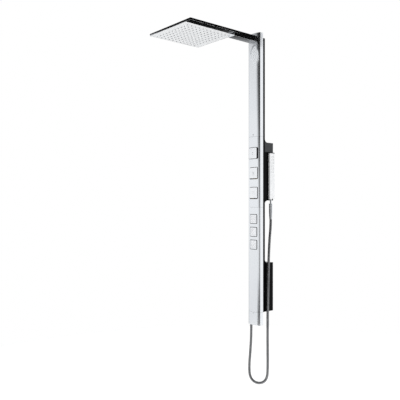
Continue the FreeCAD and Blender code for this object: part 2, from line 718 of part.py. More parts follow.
def make_head():
    """Shallow tray, white spray plate with nozzles, seal and inlet elbow."""
    left = head_right - head_length
    front = -head_front
    back = -head_back
    plate_right = head_right - strip_width
    tray = box(left, head_right, front, back, head_foot, arm_top)
    chamber = box(left + head_skin, plate_right, front + head_skin, back - head_skin, head_foot - through,
                  arm_top - head_skin)
    feed_half = inlet_radius + elbow_wall
    feed = box(plate_right - through, feed_half, inlet_y - feed_half, inlet_y + feed_half,
               head_foot + 2 * head_skin, arm_top - head_skin)
    drop = rod(inlet_radius, V(0, inlet_y, head_foot - through), Z_AXIS, head_thickness / 2)
    write("head_body", tray.cut(chamber).cut(feed).cut(drop))

    def plate_slab(inset, z0, z1):
        return box(left + head_skin + inset, plate_right - inset, front + head_skin + inset,
                   back - head_skin - inset, z0, z1)

    seal_foot = head_foot + spray_plate_thickness
    seal_top = seal_foot + seal_thickness
    write("spray_plate", plate_slab(fit, head_foot, seal_foot))
    seal_hole = plate_slab(seal_width, seal_foot - through, seal_top + through)
    write("head_seal", plate_slab(fit, seal_foot, seal_top).cut(seal_hole))
    first_x = (left + plate_right) / 2 + nozzle_offset - (nozzle_count - 1) / 2 * nozzle_pitch
    first_y = (front + back) / 2 - (nozzle_count - 1) / 2 * nozzle_pitch
    nozzles = []
    for row in range(nozzle_count):
        for column in range(nozzle_count):
            spot = V(first_x + column * nozzle_pitch, first_y + row * nozzle_pitch, head_foot - nozzle_length)
            nozzles.append(Part.makeCone(0.7 * nozzle_radius, nozzle_radius, nozzle_length, spot, Z_AXIS))
    write("spray_nozzles", Part.makeCompound(nozzles))
    upright = rod(inlet_radius, V(0, inlet_y, arm_pipe_height), Z_AXIS, head_foot - arm_pipe_height)
    reach = rod_y(elbow_radius, 0, arm_pipe_height, inlet_y - inlet_radius - elbow_wall, elbow_back)
    way_up = rod(inlet_radius - elbow_wall, V(0, inlet_y, arm_pipe_height), Z_AXIS, arm_height)
    way_back = rod_y(elbow_radius - elbow_wall, 0, arm_pipe_height, inlet_y - inlet_radius + through,
                     elbow_back + through)
    write("head_elbow", upright.fuse(reach).removeSplitter().cut(way_up).cut(way_back))


# ---------------------------------------------------------------- handset
def make_handset():
    inner = handset_x
    outer = handset_x + handset_thickness
    front = handset_y
    back = handset_y + handset_depth
    bar = box(inner, outer, front, back, handset_foot, handset_top)
    bar = bar.makeFillet(handset_edge, [e for e in bar.Edges if e.BoundBox.ZLength > handset_depth]
                         + [e for e in bar.Edges if e.BoundBox.ZMin > handset_top - through])
    notch = box(inner - through, outer + through, front - through, front + connector_depth,
                handset_foot - through, connector_top)
    middle = (front + back) / 2
    neck_half = hook_neck / 2 + fit
    head_half = hook_head / 2 + fit
    slot_floor = inner + hook_slot_wall + hook_head_thickness + overlap
    slot_foot = hook_height - hook_head / 2 - lift_travel - through
    slot_top = hook_height + hook_head / 2 + through
    neck_slot = box(inner - through, inner + hook_slot_wall, middle - neck_half, middle + neck_half, slot_foot,
                    hook_height + neck_half + through)
    head_slot = box(inner + hook_slot_wall - fit, slot_floor, middle - head_half, middle + head_half, slot_foot,
                    slot_top)
    entry = box(inner - through, slot_floor, middle - head_half, middle + head_half, slot_foot,
                slot_foot + hook_head + 2 * through)
    strip_foot = handset_top - strip_end - spray_strip_length
    strip_top = strip_foot + spray_strip_length
    strip_half = spray_strip_width / 2
    strip_floor = outer - strip_depth
    strip_face = outer - strip_recess
    strip_pocket = box(strip_floor, outer + through, middle - strip_half, middle + strip_half, strip_foot,
                       strip_top)
    water_way = rod(nut_bore, V(nut_x, nut_y, connector_top - through), Z_AXIS,
                    strip_foot + spray_strip_width - connector_top)
    cap_space = box(inner - through, outer + through, front - through, back + through,
                    handset_top - handset_cap_length, handset_top + through)
    write("handset_cap", bar.common(cap_space))
    body = bar.cut(cap_space).cut(notch).cut(neck_slot).cut(head_slot).cut(entry)
    write("handset_body", body.cut(strip_pocket).cut(water_way))
    write("handset_face", box(strip_floor, strip_face, middle - strip_half + strip_gap,
                              middle + strip_half - strip_gap, strip_foot + strip_gap, strip_top - strip_gap))
    nozzles = []
    for row in range(spray_rows):
        for column in range(spray_columns):
            spot = V(strip_face, middle + (column - (spray_columns - 1) / 2) * spray_pitch,
                     (strip_foot + strip_top) / 2 + (row - (spray_rows - 1) / 2) * spray_pitch)
            nozzles.append(Part.makeCone(handset_nozzle_radius, 0.7 * handset_nozzle_radius,
                                         handset_nozzle_length, spot, X_AXIS))
    write("handset_nozzles", Part.makeCompound(nozzles))
    connector = box(inner, outer, front, front + connector_depth - strip_gap, connector_foot, connector_top)
    upright_edges = [e for e in connector.Edges if e.BoundBox.ZLength > nut_radius]
    connector = connector.makeFillet(connector_edge, upright_edges)
    top_edges = [e for e in connector.Edges if e.BoundBox.ZMin > connector_top - strip_gap]
    connector = connector.makeFillet(connector_groove, top_edges)
    connector_way = rod(nut_bore, V(nut_x, nut_y, connector_foot - through), Z_AXIS, nut_length)
    write("handset_connector", connector.cut(connector_way))
    plate_face = bracket_width / 2 + hook_plate_thickness
    head_back_face = inner + hook_slot_wall
    hook_plate = box(bracket_width / 2, plate_face, middle - hook_plate_width / 2, middle + hook_plate_width / 2,
                     hook_height - hook_plate_height / 2, hook_height + hook_plate_height / 2)
    neck = box(plate_face, head_back_face + fit, middle - hook_neck / 2, middle + hook_neck / 2,
               hook_height - hook_neck / 2, hook_height + hook_neck / 2)
    head = box(head_back_face, head_back_face + hook_head_thickness, middle - hook_head / 2,
               middle + hook_head / 2, hook_height - hook_head / 2, hook_height + hook_head / 2)
    write("handset_hook", hook_plate.fuse(neck).fuse(head).removeSplitter())


def make_hose():
    """Conical nut and the free hose, which leaves the column's foot, loops and comes up to the nut."""
    collar = rod(nut_bore + nut_collar, V(nut_x, nut_y, nut_top), Z_AXIS, connector_foot - nut_top)
    barrel = rod(nut_radius, V(nut_x, nut_y, nut_top - nut_length), Z_AXIS, nut_length)
    for step in groove_steps:
        groove = tube(nut_radius + through, groove_depth + through, V(nut_x, nut_y, nut_top - step), Z_AXIS,
                      groove_width)
        barrel = barrel.cut(groove)
    cone = Part.makeCone(hose_radius + nut_end_wall, nut_radius, nut_cone, V(nut_x, nut_y, nut_foot), Z_AXIS)
    nut = collar.fuse(barrel).fuse(cone).removeSplitter()
    nut_way = rod(nut_bore, V(nut_x, nut_y, nut_foot - through), Z_AXIS, connector_top - nut_foot)
    write("hose_nut", nut.cut(nut_way))
    path = rounded_path(hose_route())
    hose = swept(path, hose_radius)
    section = math.pi * hose_radius ** 2
    print("hose length %.0f mm, volume over section times length %.4f" % (path.Length,
                                                                        hose.Volume / (section * path.Length)))
    write("hose", hose)


def hose_route():
    """Points of the hose, chosen by eye from the photograph, from the column's foot to the nut."""
    return [
        V(hose_exit_x, hose_exit_y, hose_tail),
        V(hose_exit_x, hose_exit_y, -60),
        V(-31, -94.5, -138),
        V(-36, -98, -211),
        V(-33.5, -96.5, -268),
        V(-10, -83.5, -294),
        V(21, -65, -294),
        V(44.5, -51.5, -267),
        V(46.5, -50, -201),
        V(46.5, -51.5, -85),
        V(46.2, -50.5, 60),
        V(46.3, -47.5, 195),
        V(46, -43.5, 320),
        V(46, -37, nut_foot - 101),
        V(nut_x, nut_y, nut_foot - 36),
        V(nut_x, nut_y, nut_foot),
    ]


# ---------------------------------------------------------------- build
os.makedirs("parts", exist_ok=True)
make_column()
make_caps()
make_spine()
make_brackets()
write("hot_inlet", supply_tail(supply_heights[1]))
write("cold_inlet", supply_tail(supply_heights[0]))
write("check_valves", Part.makeCompound([check_valve(height) for height in supply_heights]))
make_mixer()
make_pipes()
make_knob()
make_button("first_button", first_button_height)
make_button("second_button", second_button_height)
write("jet_sockets", Part.makeCompound([make_jet(i + 1, height) for i, height in enumerate(jet_heights)]))
make_arm()
make_head()
make_handset()
make_hose()
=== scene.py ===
# %% [markdown]
# # A shower panel column
# The object is a tall, slim shower panel that hangs on a wall: a satin aluminium cover on a black back rail, two
# black stand-off brackets, a thin square rain head on an arm, three square controls, three body jets and a flat
# handset on a metal hose. Its solids come in as a fixed frame, in metres, with +Z up and the wall behind, at +Y.
# This notebook gives every solid its finish, and builds finer pieces where the bare solid is too plain.

# %% Load the frame
import json
import math

import bmesh
import bpy
from mathutils import Matrix, Vector

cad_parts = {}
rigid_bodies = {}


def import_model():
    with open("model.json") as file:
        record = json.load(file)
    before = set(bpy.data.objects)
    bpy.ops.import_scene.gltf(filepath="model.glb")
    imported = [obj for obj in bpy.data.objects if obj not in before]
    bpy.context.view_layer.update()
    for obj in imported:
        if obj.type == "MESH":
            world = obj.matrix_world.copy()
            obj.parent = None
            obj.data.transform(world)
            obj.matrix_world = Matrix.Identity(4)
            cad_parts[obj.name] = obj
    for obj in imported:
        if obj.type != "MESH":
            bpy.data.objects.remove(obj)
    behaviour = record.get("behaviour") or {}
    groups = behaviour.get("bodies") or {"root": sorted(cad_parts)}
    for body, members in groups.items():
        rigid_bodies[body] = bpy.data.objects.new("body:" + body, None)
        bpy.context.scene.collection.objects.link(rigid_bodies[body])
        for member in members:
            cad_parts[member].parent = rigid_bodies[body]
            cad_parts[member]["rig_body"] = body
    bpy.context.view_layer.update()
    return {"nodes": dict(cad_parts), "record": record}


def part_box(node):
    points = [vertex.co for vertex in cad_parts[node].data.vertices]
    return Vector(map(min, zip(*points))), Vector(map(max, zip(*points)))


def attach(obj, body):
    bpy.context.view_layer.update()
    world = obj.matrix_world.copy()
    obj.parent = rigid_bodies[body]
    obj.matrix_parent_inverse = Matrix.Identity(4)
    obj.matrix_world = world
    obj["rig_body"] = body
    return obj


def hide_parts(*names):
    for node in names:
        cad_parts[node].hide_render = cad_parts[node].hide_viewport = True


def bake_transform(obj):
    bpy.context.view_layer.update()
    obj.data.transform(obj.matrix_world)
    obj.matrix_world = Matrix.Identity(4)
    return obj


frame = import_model()
nodes = frame["nodes"]
scene = bpy.context.scene
scene.view_settings.view_transform = "Standard"

# %% [markdown]
# ## The camera
# The picture looks at the panel level, from the right and about fifty degrees round from straight ahead, with a
# normal lens. Upright edges then stay parallel, and a small upward shift of the lens, not a tilt, places the panel
# in the frame. That is how a catalogue photographer keeps a tall object from leaning.

# %% Camera
CAMERA_PLACE = (1.9485, -2.0865, 0.4005)
CAMERA_TURN = 50    # degrees round from straight ahead
camera = bpy.data.objects.new("camera", bpy.data.cameras.new("camera"))
scene.collection.objects.link(camera)
camera.location = CAMERA_PLACE
camera.rotation_euler = (math.radians(90), 0, math.radians(CAMERA_TURN))
camera.data.lens = 50
camera.data.sensor_width = 36
camera.data.shift_y = 0.0175
camera.data.clip_end = 60
scene.camera = camera
print("camera", round(camera.location.length, 2), "m from the origin, with a lens of", camera.data.lens, "mm")

# %% [markdown]
# ## Small helpers for node trees
# A finish is a tree of nodes. These helpers add a node, set its inputs and join it to others in one line, so that
# each finish below reads as a list of what happens, from left to right.


# %% Node helpers
def put(value, socket, tree):
    """Joins a socket to another, or gives it a plain value."""
    if isinstance(value, bpy.types.NodeSocket):
        tree.links.new(value, socket)
    elif value is not None:
        socket.default_value = value


def add(tree, kind, *values, **settings):
    """Adds a node, its settings by name and its inputs in order, or by name through a dict."""
    node = tree.nodes.new(kind)
    for key, value in settings.items():
        setattr(node, key, value)
    for index, value in enumerate(values):
        if isinstance(value, dict):
            for key, inner in value.items():
                put(inner, node.inputs[key], tree)
        else:
            put(value, node.inputs[index], tree)
    return node


def maths(tree, operation, a, b=None, c=None):
    return add(tree, "ShaderNodeMath", a, b, c, operation=operation).outputs[0]


def remap(tree, value, low, high, to_low, to_high, smooth=False):
    """Carries a value from one range to another, held at both ends."""
    kind = "SMOOTHSTEP" if smooth else "LINEAR"
    return add(tree, "ShaderNodeMapRange", value, low, high, to_low, to_high,
               interpolation_type=kind).outputs[0]


def group_tree(name, kind, inputs, outputs):
    """A new node group with named sockets: {name: (socket type, default)}."""
    tree = bpy.data.node_groups.new(name, kind)
    for label, (socket, default) in inputs.items():
        made = tree.interface.new_socket(name=label, in_out="INPUT", socket_type=socket)
        if default is not None:
            made.default_value = default
    for label, socket in outputs.items():
        tree.interface.new_socket(name=label, in_out="OUTPUT", socket_type=socket)
    return tree, tree.nodes.new("NodeGroupInput").outputs, tree.nodes.new("NodeGroupOutput").inputs


# %% [markdown]
# Pieces come out of bmesh, which holds a shape while it is built. Two more helpers put a finished shape into the
# scene, and one measures a solid of the frame, so that what is built for it lands on the same place.


# %% Shape helpers
def add_object(name, mesh):
    made = bpy.data.objects.new(name, mesh)
    scene.collection.objects.link(made)
    return made


def shape_object(name, bm):
    """Turns a finished bmesh into an object of the scene."""
    mesh = bpy.data.meshes.new(name)
    bm.to_mesh(mesh)
    bm.free()
    return add_object(name, mesh)


def middle_of(node):
    """A solid's middle and the two corners of its box."""
    low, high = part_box(node)
    return (low + high) / 2, low, high


# %% [markdown]
# ## The hose
# A shower hose is a strip of metal wound so that its edges lock, which gives the fine ribs. It is a fixed length of
# something limp, so the line comes first: it leaves the column's foot straight down, hangs in a loop under its own
# weight and rises to the handset's nut. The line is a smooth spline through a few listed points, and the ribs
# are grown along it with Geometry Nodes, because a rule that follows a curve is what they are for.

# %% Hose line
HOSE_RADIUS = 0.0065
route = [(-0.027, -0.092, -0.1725), (-0.027, -0.092, -0.2465), (-0.031, -0.0945, -0.3245),
         (-0.036, -0.098, -0.3975), (-0.0335, -0.0965, -0.4545), (-0.010, -0.0835, -0.4805),
         (0.021, -0.065, -0.4805), (0.0445, -0.0515, -0.4535), (0.0465, -0.050, -0.3875),
         (0.0465, -0.0515, -0.2715), (0.0462, -0.0505, -0.1265), (0.0463, -0.0475, 0.0085),
         (0.046, -0.0435, 0.1335), (0.046, -0.037, 0.2385), (0.0455, -0.02775, 0.3035),
         (0.0455, -0.02775, 0.3395)]


def spline_object(name, points):
    curve = bpy.data.curves.new(name, "CURVE")
    curve.dimensions = "3D"
    curve.resolution_u = 24
    spline = curve.splines.new("NURBS")
    spline.points.add(len(points) - 1)
    for place, point in zip(spline.points, points):
        place.co = (*point, 1)
    spline.order_u = 3
    spline.use_endpoint_u = True
    return add_object(name, curve)


def evaluated_mesh(source):
    return bpy.data.meshes.new_from_object(source.evaluated_get(bpy.context.evaluated_depsgraph_get()))


hose_line = spline_object("hose_line", route)
hose_points = [tuple(v.co) for v in evaluated_mesh(hose_line).vertices]
line_length = sum((Vector(a) - Vector(b)).length for a, b in zip(hose_points, hose_points[1:]))
print("hose line", round(line_length, 3), "m in", len(hose_points), "points")

# %% [markdown]
# The tree takes the line, lays a point every quarter of a rib along it, narrows the radius at every fourth point
# and sweeps a circle along the result. Its pitch, radius and rib depth are named inputs, so the same tree could
# make any ribbed hose. The modifier is evaluated once and kept as a plain mesh.

# %% Rib tree
POINTS_PER_RIB = 4.0


def ribbed_hose_tree():
    tree, given, out = group_tree("ribbed hose", "GeometryNodeTree", {
        "Geometry": ("NodeSocketGeometry", None), "Pitch": ("NodeSocketFloat", 0.003),
        "Radius": ("NodeSocketFloat", 0.0065), "Rib depth": ("NodeSocketFloat", 0.0006),
        "Sides": ("NodeSocketInt", 28), "Finish": ("NodeSocketMaterial", None)},
        {"Geometry": "NodeSocketGeometry"})
    step = maths(tree, "DIVIDE", given["Pitch"], POINTS_PER_RIB)
    fine = add(tree, "GeometryNodeResampleCurve", {"Curve": given["Geometry"], "Length": step}, mode="LENGTH")
    index = add(tree, "GeometryNodeInputIndex").outputs[0]
    first_of_rib = maths(tree, "LESS_THAN", maths(tree, "MODULO", index, POINTS_PER_RIB), 0.5)
    radius = maths(tree, "SUBTRACT", given["Radius"], maths(tree, "MULTIPLY", first_of_rib, given["Rib depth"]))
    circle = add(tree, "GeometryNodeCurvePrimitiveCircle", {"Resolution": given["Sides"], "Radius": 1.0})
    tube = add(tree, "GeometryNodeCurveToMesh", {"Curve": fine.outputs[0], "Profile Curve": circle.outputs[0],
                                                 "Fill Caps": True, "Scale": radius})
    smooth = add(tree, "GeometryNodeSetShadeSmooth", {"Geometry": tube.outputs[0], "Shade Smooth": True})
    real = add(tree, "GeometryNodeRealizeInstances", smooth.outputs[0])
    painted = add(tree, "GeometryNodeSetMaterial", {"Geometry": real.outputs[0], "Material": given["Finish"]})
    put(painted.outputs[0], out["Geometry"], tree)
    return tree


def grown(source, tree, name, **values):
    """Runs a Geometry Nodes tree on an object and returns the result as a plain mesh object."""
    modifier = source.modifiers.new("grow", "NODES")
    modifier.node_group = tree
    for item in tree.interface.items_tree:
        if item.in_out == "INPUT" and item.name in values:
            modifier[item.identifier] = values[item.name]
    mesh = evaluated_mesh(source)
    mesh.name = name
    bpy.data.objects.remove(source)
    return add_object(name, mesh)


RIBBED_HOSE = ribbed_hose_tree()
print("rib tree with", len(RIBBED_HOSE.nodes), "nodes")

# %% [markdown]
# ## The studio
# Metal shows its surroundings, so the surroundings are part of its look. The panel stands in a plain pale studio: a
# bright band all round at eye level, which the satin front and the flank pick up, and black drapes above and below
# that band, which draw the dark edge of the rain head. One more drape hangs behind the camera and spreads as it
# goes up, and the convex front gathers it into the dark line along its right edge. A dimmer stretch to the left
# draws the line along the other edge. A soft box hangs overhead.
#
# All of it is painted on the sky by direction. A height there is the sine of the angle above the horizon, and
# "toward" tells how far a level direction points to the camera's side: 1 straight at it, -1 straight away. The
# table names every ramp of tone or width, so that one line changes one thing.

# %% Ramps of the studio
TOWARD_CAMERA = (0.766, -0.643)    # the level direction of "toward", along X and Y
JUST_OVER_ONE = 1.0001             # keeps the division by the level length clear of nought, straight up and down
RAMPS = {
    # what the ramp sets: its input at both ends, its output there, and True where it eases in and out
    "drape tone by height": (-0.2, 0.26, 0.12, 0.003),
    "drape tone in its middle": (0.86, 0.99, 0.0, 0.40, True),
    "drape edge above": (0.0, 0.28, 0.60, 0.36),
    "drape edge below": (-0.21, -0.13, 0.40, 0.57),
    "drape softness": (0.0, 0.28, 0.05, 0.20),
    "left tone above": (0.03, 0.25, 0.78, 0.36),
    "left tone below": (-0.2, 0.03, 0.34, 0.78),
    "left tone at the foot": (-0.27, -0.21, 0.62, 0.0),
    "wall side": (-0.05, 0.05, 0.0, 1.0),
    "front tone above": (0.07, 0.27, 0.95, 0.84),
    "front tone below": (-0.20, 0.02, 0.84, 0.95),
    "height of the upper black": (0.0, 1.0, 0.284, 0.335),
    "upper black": (0.0, 0.014, 1.0, 0.01, True),
    "lower black": (-0.303, -0.255, 0.01, 1.0),
    "soft box": (0.60, 0.78, 0.0, 0.85, True),
    "white by straight rays": (0, 1, 0.93, 1.0),
}
LEFT_SIDE = (-0.80, -0.64)         # the dimmer stretch ends between these values of "toward"
MIRRORED_WHITE = (0.97, 0.985, 1.0, 1)
print(len(RAMPS), "ramps paint the studio")

# %% [markdown]
# The drape's edge moves with the height, so its ramp takes sockets for its ends. Only mirrored rays see this
# studio. Plain white fills the picture behind the object and lights the dull pieces evenly.

# %% Sky
world = bpy.data.worlds.new("studio")
scene.world = world
world.use_nodes = True
sky = world.node_tree
sky.nodes.clear()


def ramp(name, value):
    return remap(sky, value, *RAMPS[name])


def product(first, *others):
    for other in others:
        first = maths(sky, "MULTIPLY", first, other)
    return first


def lower_of(a, b):
    return maths(sky, "MINIMUM", a, b)


def higher_of(a, b):
    return maths(sky, "MAXIMUM", a, b)


x, y, z = add(sky, "ShaderNodeSeparateXYZ", add(sky, "ShaderNodeTexCoord").outputs["Generated"]).outputs
level = maths(sky, "SQRT", maths(sky, "SUBTRACT", JUST_OVER_ONE, product(z, z)))
toward = maths(sky, "DIVIDE", maths(sky, "ADD", product(x, TOWARD_CAMERA[0]), product(y, TOWARD_CAMERA[1])), level)

drape_tone = maths(sky, "ADD", ramp("drape tone by height", z), ramp("drape tone in its middle", toward))
drape_edge = lower_of(ramp("drape edge above", z), ramp("drape edge below", z))
drape_soft = ramp("drape softness", z)
drape = remap(sky, toward, maths(sky, "SUBTRACT", drape_edge, drape_soft),
              maths(sky, "ADD", drape_edge, drape_soft), 0.0, 1.0, True)
behind_camera = maths(sky, "MULTIPLY_ADD", drape, maths(sky, "SUBTRACT", drape_tone, 1.0), 1.0)

left_tone = lower_of(ramp("left tone above", z), ramp("left tone below", z))
left_tone = higher_of(left_tone, ramp("left tone at the foot", z))
left_side = remap(sky, toward, *LEFT_SIDE, left_tone, 1.0, True)

wall_side = ramp("wall side", y)
front_tone = higher_of(lower_of(ramp("front tone above", z), ramp("front tone below", z)), wall_side)
above = maths(sky, "SUBTRACT", z, ramp("height of the upper black", wall_side))
blacks = product(ramp("upper black", above), ramp("lower black", z))
band = product(product(behind_camera, left_side), product(blacks, front_tone))
seen_in_metal = maths(sky, "ADD", band, ramp("soft box", z))

path = add(sky, "ShaderNodeLightPath").outputs
straight = higher_of(path["Is Camera Ray"], path["Is Transmission Ray"])
plain = add(sky, "ShaderNodeBackground", (1, 1, 1, 1), ramp("white by straight rays", straight))
mirror = add(sky, "ShaderNodeBackground", MIRRORED_WHITE, seen_in_metal)
mixed = add(sky, "ShaderNodeMixShader", path["Is Glossy Ray"], plain.outputs[0], mirror.outputs[0])
add(sky, "ShaderNodeOutputWorld", mixed.outputs[0])
print("sky of", len(sky.nodes), "nodes")

# %% [markdown]
# Three soft lamps shape the dull pieces: a key from the front left, a fill from the right on the wall's side, and a
# bounce from below for the spray plate. Mirrors don't show them, so the metal keeps the studio's clean bands.

# %% Lamps
LAMPS = {
    # name: place, the point it aims at, side in metres, watts
    "key": ((-2.4, -3.0, 1.6), (0, -0.1, 0.5), 2.2, 28),
    "fill": ((3.2, 1.2, 1.0), (0, -0.1, 0.4), 2.4, 12),
    "bounce": ((-0.7, -1.2, -0.75), (-0.13, -0.37, 1.23), 1.4, 9),
}
for name, (place, aim, side, watts) in LAMPS.items():
    lamp = add_object(name, bpy.data.lights.new(name, "AREA"))
    lamp.data.size = side
    lamp.data.energy = watts
    lamp.location = place
    lamp.rotation_mode = "QUATERNION"
    lamp.rotation_quaternion = (Vector(aim) - Vector(place)).to_track_quat("-Z", "Y")
    lamp.visible_glossy = False
    print("lamp", name, watts, "W")

# %% [markdown]
# A flag is a black card on a stand. This one hangs to the right of the rain head. The camera's own rays pass
# through it, so the picture never shows it, but the polished sides of the head and the arm mirror it and read as
# black bars against the white.

# %% Flag
FLAG_X = 0.40
FLAG_Y = (-0.36, 0.277)     # past 0.277 the column's flank would mirror it too
FLAG_Z = (1.335, 1.62)


def stage_paint(name, inputs):
    """A plain material for what only stands in the studio, its shader's inputs by name."""
    material = bpy.data.materials.new(name)
    material.use_nodes = True
    shader = material.node_tree.nodes["Principled BSDF"]
    for key, value in inputs.items():
        put(value, shader.inputs[key], material.node_tree)
    return material


flag_mesh = bpy.data.meshes.new("flag")
flag_mesh.from_pydata([(FLAG_X, FLAG_Y[0], FLAG_Z[0]), (FLAG_X, FLAG_Y[1], FLAG_Z[0]),
                       (FLAG_X, FLAG_Y[1], FLAG_Z[1]), (FLAG_X, FLAG_Y[0], FLAG_Z[1])], [], [(0, 1, 2, 3)])
flag_mesh.materials.append(stage_paint("black felt", {
    "Base Color": (0.004, 0.004, 0.004, 1), "Roughness": 1.0, "Specular IOR Level": 0.0}))
flag = add_object("flag", flag_mesh)
flag.visible_camera = False
flag.visible_diffuse = False
flag.visible_shadow = False
print("flag", round(FLAG_Y[1] - FLAG_Y[0], 3), "by", round(FLAG_Z[1] - FLAG_Z[0], 3), "m")

# %% [markdown]
# The floor is a plain pale disc well below the hose's loop. It keeps the object's soft shadow, and a little of its
# own light lifts it to the white of the backdrop.

# %% Floor
FLOOR_RADIUS = 3.0
FLOOR_HEIGHT = -0.85
FLOOR_GLOW = 0.22
bm = bmesh.new()
bmesh.ops.create_circle(bm, cap_ends=True, radius=FLOOR_RADIUS, segments=96)
floor = shape_object("floor", bm)
floor.data.transform(Matrix.Translation((0, 0, FLOOR_HEIGHT)))
floor_paint = stage_paint("floor paint", {
    "Base Color": (0.9, 0.9, 0.9, 1), "Roughness": 0.9, "Emission Color": (1, 1, 1, 1)})
tree = floor_paint.node_tree
path = add(tree, "ShaderNodeLightPath").outputs
shown = maths(tree, "MAXIMUM", maths(tree, "MAXIMUM", path["Is Camera Ray"], path["Is Glossy Ray"]),
              path["Is Transmission Ray"])
glow = maths(tree, "MULTIPLY", shown, FLOOR_GLOW)
put(glow, tree.nodes["Principled BSDF"].inputs["Emission Strength"], tree)
floor.data.materials.append(floor_paint)
print("floor", 2 * FLOOR_RADIUS, "m across, at", FLOOR_HEIGHT, "m")

# %% [markdown]
# ## Effects that the finishes share
# Brushed metal has fine scratches that run one way: noise stretched along the brush's travel. Handled and cleaned
# surfaces never shine quite evenly, so a second effect puts out soft, large smudges. Both are groups with named
# inputs, used again and again at different strengths.

# %% Shared effects
SMUDGE_RANGE = (0.38, 0.66)    # the noise values between which a clean place turns into a handled one


def grain_group():
    tree, given, out = group_tree("brushed grain", "ShaderNodeTree", {
        "Place": ("NodeSocketVector", None), "Stretch": ("NodeSocketVector", (900.0, 900.0, 9.0)),
        "Detail": ("NodeSocketFloat", 2.0)}, {"Lines": "NodeSocketFloat"})
    vector = add(tree, "ShaderNodeVectorMath", given["Place"], given["Stretch"], operation="MULTIPLY").outputs[0]
    noise = add(tree, "ShaderNodeTexNoise", {"Vector": vector, "Scale": 1.0, "Detail": given["Detail"]})
    put(noise.outputs["Fac"], out["Lines"], tree)
    return tree


def smudge_group():
    tree, given, out = group_tree("soft smudges", "ShaderNodeTree", {
        "Place": ("NodeSocketVector", None), "Scale": ("NodeSocketFloat", 14.0),
        "Low": ("NodeSocketFloat", 0.2), "High": ("NodeSocketFloat", 0.3)},
        {"Value": "NodeSocketFloat", "Mask": "NodeSocketFloat"})
    large = add(tree, "ShaderNodeTexNoise", {"Vector": given["Place"], "Scale": given["Scale"], "Detail": 4.0,
                                             "Distortion": 0.6})
    mask = remap(tree, large.outputs["Fac"], *SMUDGE_RANGE, 0.0, 1.0, True)
    put(mask, out["Mask"], tree)
    put(remap(tree, mask, 0.0, 1.0, given["Low"], given["High"]), out["Value"], tree)
    return tree


GRAIN = grain_group()
SMUDGE = smudge_group()
print("shared effects:", GRAIN.name, "and", SMUDGE.name)

# %% [markdown]
# ## The finishes
# Each finish is one Principled shader. A small table gives its colour, a second colour that the smudges bring in,
# how much of a metal it is, how rough it may be between its clean and its handled places, and which way its grain
# runs and how deep. The function after it turns a row of the table into a material.

# %% Table of finishes
ALONG_Z = (1100.0, 1100.0, 7.0)
ALONG_X = (7.0, 1100.0, 1100.0)
EVEN = (900.0, 900.0, 900.0)
FINISHES = {
    # name: colour, smudged colour, metal, roughness where clean and where handled,
    #       way of the grain, its depth in metres, scale of the smudges
    "satin_aluminium": ((0.885, 0.90, 0.92), (0.865, 0.88, 0.905), 1.0, 0.115, 0.135, ALONG_Z, 0.0000015, 5.0),
    "polished": ((0.88, 0.89, 0.91), (0.84, 0.86, 0.88), 1.0, 0.07, 0.13, ALONG_Z, 0.000001, 16.0),
    "black_gloss": ((0.0020, 0.0020, 0.0024), (0.0035, 0.0035, 0.004), 0.0, 0.10, 0.20, EVEN, 0.000001, 7.0),
    "grey_block": ((0.034, 0.036, 0.039), (0.046, 0.048, 0.052), 0.0, 0.32, 0.42, EVEN, 0.000004, 22.0),
    "chrome": ((0.90, 0.91, 0.93), (0.86, 0.88, 0.90), 1.0, 0.03, 0.05, EVEN, 0.00000003, 18.0),
    "control_face": ((0.93, 0.935, 0.95), (0.90, 0.91, 0.93), 1.0, 0.15, 0.20, ALONG_X, 0.000002, 22.0),
    "handset_satin": ((0.93, 0.935, 0.945), (0.90, 0.91, 0.92), 0.25, 0.36, 0.44, ALONG_Z, 0.000002, 16.0),
    "white_plate": ((0.93, 0.94, 0.95), (0.90, 0.915, 0.93), 0.0, 0.22, 0.32, EVEN, 0.000002, 10.0),
    "pale_rubber": ((0.74, 0.75, 0.77), (0.68, 0.69, 0.71), 0.0, 0.48, 0.60, EVEN, 0.000006, 60.0),
    "nozzle_rubber": ((0.10, 0.105, 0.115), (0.14, 0.145, 0.155), 0.0, 0.48, 0.60, EVEN, 0.000006, 60.0),
    "seal_rubber": ((0.02, 0.02, 0.02), (0.03, 0.03, 0.03), 0.0, 0.60, 0.75, EVEN, 0.000010, 40.0),
    # brass: darker than bright machined brass. It is a dull cast brass, and the darker colour also stands in for
    # the shade inside the gaps round the push buttons, where the mixer shows through: partly painted shade
    "brass": ((0.40, 0.30, 0.16), (0.30, 0.225, 0.12), 1.0, 0.50, 0.62, ALONG_Z, 0.000004, 20.0),
    "inner_plastic": ((0.16, 0.17, 0.18), (0.20, 0.21, 0.22), 0.0, 0.45, 0.60, EVEN, 0.000008, 30.0),
    "steel": ((0.60, 0.61, 0.62), (0.52, 0.53, 0.54), 1.0, 0.26, 0.38, ALONG_X, 0.000006, 20.0),
    "hose_metal": ((0.25, 0.253, 0.26), (0.21, 0.213, 0.22), 1.0, 0.16, 0.26, EVEN, 0.000002, 26.0),
}
SHINE = {"black_gloss": 0.05, "grey_block": 0.25}    # how strongly these two mirror, where the usual value is 0.5
print(len(FINISHES), "rows")


